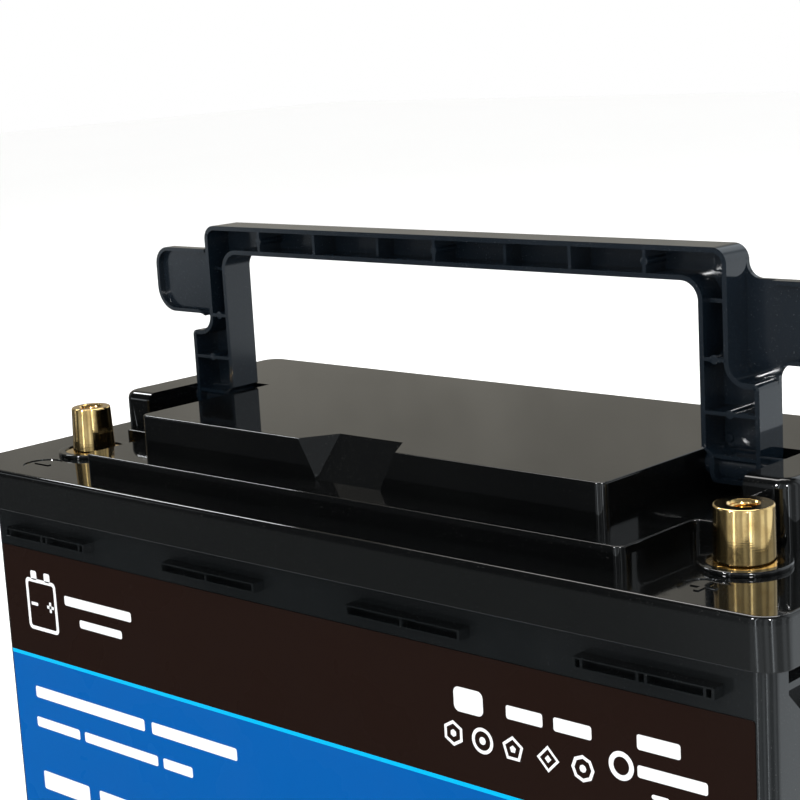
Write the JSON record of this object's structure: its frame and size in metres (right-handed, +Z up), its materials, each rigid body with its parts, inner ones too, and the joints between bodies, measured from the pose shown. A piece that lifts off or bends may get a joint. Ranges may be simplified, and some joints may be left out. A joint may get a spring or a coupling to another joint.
{
  "type": "deep cycle battery",
  "caption": "Deep cycle battery in a ledged box case, with a stepped lid, brass screw-in posts and a fold-down carrying handle.",
  "frame": {"origin": "centre of the underside of the case", "axes": "+X along the length towards the positive post, +Y from the terminal side to the rear, +Z up"},
  "size_m": [0.353, 0.175, 0.252],
  "materials": {
    "case_plastic": "moulded, lightly textured satin",
    "lid_plastic": "moulded, high gloss",
    "handle_plastic": "moulded, gloss outside and satin in the ribbed side",
    "label_film": "printed film, dark brown over blue with a cyan stripe",
    "brass": "turned, bright",
    "sealant": "matt",
    "steel": "zinc plated",
    "copper": "bare copper, dull",
    "cell_can": "aluminium can in blue film",
    "aluminium": "satin",
    "insulation": "epoxy glass sheet",
    "foam": "closed-cell foam",
    "tray_plastic": "matt",
    "board_laminate": "solder mask",
    "component_plastic": "matt",
    "cable_red": "silicone jacket",
    "cable_black": "silicone jacket",
    "wire": "thin jacket"
  },
  "bodies": {
    "battery": {"balance_wires": "wire", "base_foam_pad": "foam", "bms_balance_connector": "component_plastic", "bms_board": "board_laminate", "bms_board_screws": "steel", "bms_components": "component_plastic", "bms_heatsink": "aluminium", "bms_power_pads": "copper", "bms_transistors": "component_plastic", "bms_tray": "tray_plastic", "busbar_nuts": "steel", "case": "case_plastic", "cell_1": "cell_can", "cell_2": "cell_can", "cell_3": "cell_can", "cell_4": "cell_can", "cell_insulation": "insulation", "cell_straps": "steel", "cell_terminals": "aluminium", "cell_vents": "aluminium", "front_label": "label_film", "lid": "lid_plastic", "lid_seal": "sealant", "negative_post": "brass", "negative_post_collar": "lid_plastic", "negative_post_nut": "steel", "negative_post_washer": "steel", "output_negative_cable": "cable_black", "pack_end_tabs": "copper", "pack_negative_cable": "cable_black", "positive_cable": "cable_red", "positive_post": "brass", "positive_post_collar": "lid_plastic", "positive_post_nut": "steel", "positive_post_washer": "steel", "post_cable_lugs": "copper", "series_busbars": "copper", "side_foam_blocks": "foam", "temperature_probe": "wire", "wireless_module": "board_laminate"},
    "carry_handle": {"handle": "handle_plastic"}
  },
  "joints": [
    {"name": "handle_fold", "type": "hinge", "parent": "battery", "child": "carry_handle", "pos_m": [0, -0.004, 0.1853], "axis": [1, 0, 0], "range_deg": [0, 90]}
  ]
}
